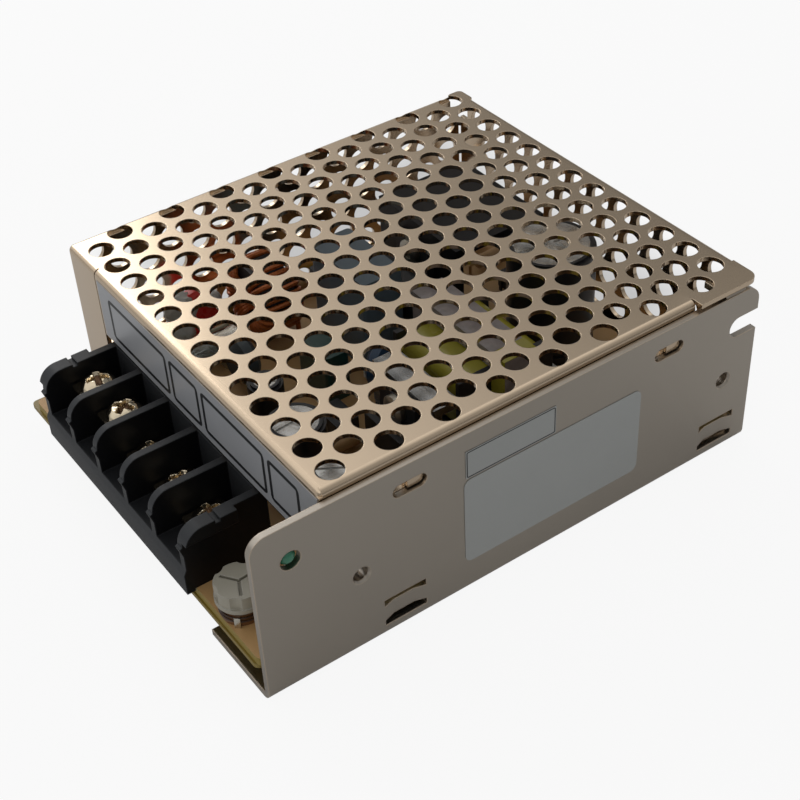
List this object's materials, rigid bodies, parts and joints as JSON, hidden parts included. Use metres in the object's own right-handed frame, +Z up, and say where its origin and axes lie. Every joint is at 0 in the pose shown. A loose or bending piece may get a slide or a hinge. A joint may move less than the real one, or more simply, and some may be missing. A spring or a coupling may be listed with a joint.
{
  "type": "enclosed switching power supply",
  "caption": "Low-profile switching power supply in a folded sheet chassis with a perforated cover, open screw terminals and an output trimmer at the front.",
  "frame": {"origin": "middle of the footprint, on the underside of the chassis base", "axes": "+X towards the solid side wall, +Y from the terminal end to the rear, +Z up from the base to the cover"},
  "size_m": [0.0821, 0.1008, 0.035],
  "materials": {
    "chassis": "satin zinc-plated sheet",
    "cover": "satin plated perforated sheet",
    "insulating_sheet": "tan insulating film",
    "circuit_board": "phenolic board, tan edge",
    "steel_screw": "plated",
    "silver_label": "plain silver film",
    "terminal_label": "plain blue-grey film",
    "terminal_block": "black moulded",
    "terminal_contacts": "tinned",
    "clamp_plate": "nickel-plated",
    "terminal_screw": "nickel-plated, pale yellow",
    "trimmer_base": "brown",
    "tinned_wire": "tinned",
    "trimmer_knob": "milky grey",
    "status_lamp": "green",
    "fuse": "clear tube with metal caps",
    "fuse_clips": "tinned spring clips",
    "varistor": "red coating",
    "thermistor": "dark green coating",
    "mains_capacitor": "slate blue box",
    "line_choke_core": "ferrite",
    "line_choke_winding": "orange enamelled wire",
    "black_package": "black moulded",
    "capacitor_sleeve": "black sleeve, aluminium top",
    "primary_heatsink": "black anodised",
    "transformer_core": "ferrite",
    "transformer_bobbin": "black moulded",
    "transformer_winding": "yellow tape",
    "transformer_tape": "yellow tape",
    "output_heatsink": "plain aluminium",
    "output_inductor": "copper-red enamelled wire",
    "safety_capacitor": "blue coating",
    "small_capacitor_1": "dark green sleeve",
    "film_capacitor": "teal coating",
    "resistors": "tan coated with bands",
    "diodes": "black moulded"
  },
  "bodies": {
    "unit": {"chassis": "chassis", "cover": "cover", "insulating_sheet": "insulating_sheet", "circuit_board": "circuit_board", "board_screws": "steel_screw", "rating_label": "silver_label", "serial_label": "silver_label", "terminal_label": "terminal_label", "terminal_block": "terminal_block", "terminal_contacts": "terminal_contacts", "trimmer_base": "trimmer_base", "trimmer_pins": "tinned_wire", "status_lamp": "status_lamp", "lamp_leads": "tinned_wire", "fuse": "fuse", "fuse_clips": "fuse_clips", "varistor": "varistor", "thermistor": "thermistor", "mains_capacitor": "mains_capacitor", "line_choke_core": "line_choke_core", "line_choke_winding": "line_choke_winding", "bridge_rectifier": "black_package", "bulk_capacitor": "capacitor_sleeve", "primary_heatsink": "primary_heatsink", "power_transistor": "black_package", "transformer_core": "transformer_core", "transformer_bobbin": "transformer_bobbin", "transformer_winding": "transformer_winding", "transformer_tape": "transformer_tape", "output_heatsink": "output_heatsink", "output_rectifier": "black_package", "heatsink_screws": "steel_screw", "output_capacitor_1": "capacitor_sleeve", "output_capacitor_2": "capacitor_sleeve", "output_inductor": "output_inductor", "safety_capacitor": "safety_capacitor", "optocoupler": "black_package", "controller_chip": "black_package", "small_capacitor_1": "small_capacitor_1", "small_capacitor_2": "capacitor_sleeve", "small_capacitor_3": "capacitor_sleeve", "film_capacitor": "film_capacitor", "resistors": "resistors", "diodes": "diodes", "small_transistor": "black_package", "jumper_wires": "tinned_wire"},
    "clamp_1": {"clamp_plate_1": "clamp_plate"},
    "screw_1": {"terminal_screw_1": "terminal_screw"},
    "clamp_2": {"clamp_plate_2": "clamp_plate"},
    "screw_2": {"terminal_screw_2": "terminal_screw"},
    "clamp_3": {"clamp_plate_3": "clamp_plate"},
    "screw_3": {"terminal_screw_3": "terminal_screw"},
    "clamp_4": {"clamp_plate_4": "clamp_plate"},
    "screw_4": {"terminal_screw_4": "terminal_screw"},
    "clamp_5": {"clamp_plate_5": "clamp_plate"},
    "screw_5": {"terminal_screw_5": "terminal_screw"},
    "trimmer": {"trimmer_knob": "trimmer_knob"}
  },
  "joints": [
    {"name": "clamp_1_travel", "type": "slide", "parent": "unit", "child": "clamp_1", "axis": [0, 0, 1], "range_m": [-0.0027, 0.0008]},
    {"name": "screw_1_turn", "type": "hinge", "parent": "clamp_1", "child": "screw_1", "pos_m": [-0.02265, -0.0419, 0.0167], "axis": [0, 0, 1], "range_deg": [-1623, 483]},
    {"name": "clamp_2_travel", "type": "slide", "parent": "unit", "child": "clamp_2", "axis": [0, 0, 1], "range_m": [-0.0027, 0.0008]},
    {"name": "screw_2_turn", "type": "hinge", "parent": "clamp_2", "child": "screw_2", "pos_m": [-0.01315, -0.0419, 0.0167], "axis": [0, 0, 1], "range_deg": [-1623, 483]},
    {"name": "clamp_3_travel", "type": "slide", "parent": "unit", "child": "clamp_3", "axis": [0, 0, 1], "range_m": [0, 0.0035]},
    {"name": "screw_3_turn", "type": "hinge", "parent": "clamp_3", "child": "screw_3", "pos_m": [-0.00365, -0.0419, 0.014], "axis": [0, 0, 1], "range_deg": [-3, 2103]},
    {"name": "clamp_4_travel", "type": "slide", "parent": "unit", "child": "clamp_4", "axis": [0, 0, 1], "range_m": [0, 0.0035]},
    {"name": "screw_4_turn", "type": "hinge", "parent": "clamp_4", "child": "screw_4", "pos_m": [0.00585, -0.0419, 0.014], "axis": [0, 0, 1], "range_deg": [-3, 2103]},
    {"name": "clamp_5_travel", "type": "slide", "parent": "unit", "child": "clamp_5", "axis": [0, 0, 1], "range_m": [0, 0.0035]},
    {"name": "screw_5_turn", "type": "hinge", "parent": "clamp_5", "child": "screw_5", "pos_m": [0.01535, -0.0419, 0.014], "axis": [0, 0, 1], "range_deg": [-3, 2103]},
    {"name": "trimmer_turn", "type": "hinge", "parent": "unit", "child": "trimmer", "pos_m": [0.0291, -0.0452, 0.0115], "axis": [0, 0, 1], "range_deg": [-135, 135]}
  ],
  "couplings": [
    {"joint": "screw_1_turn", "follows": "clamp_1_travel", "rad_per_m": 10472},
    {"joint": "screw_2_turn", "follows": "clamp_2_travel", "rad_per_m": 10472},
    {"joint": "screw_3_turn", "follows": "clamp_3_travel", "rad_per_m": 10472},
    {"joint": "screw_4_turn", "follows": "clamp_4_travel", "rad_per_m": 10472},
    {"joint": "screw_5_turn", "follows": "clamp_5_travel", "rad_per_m": 10472}
  ]
}
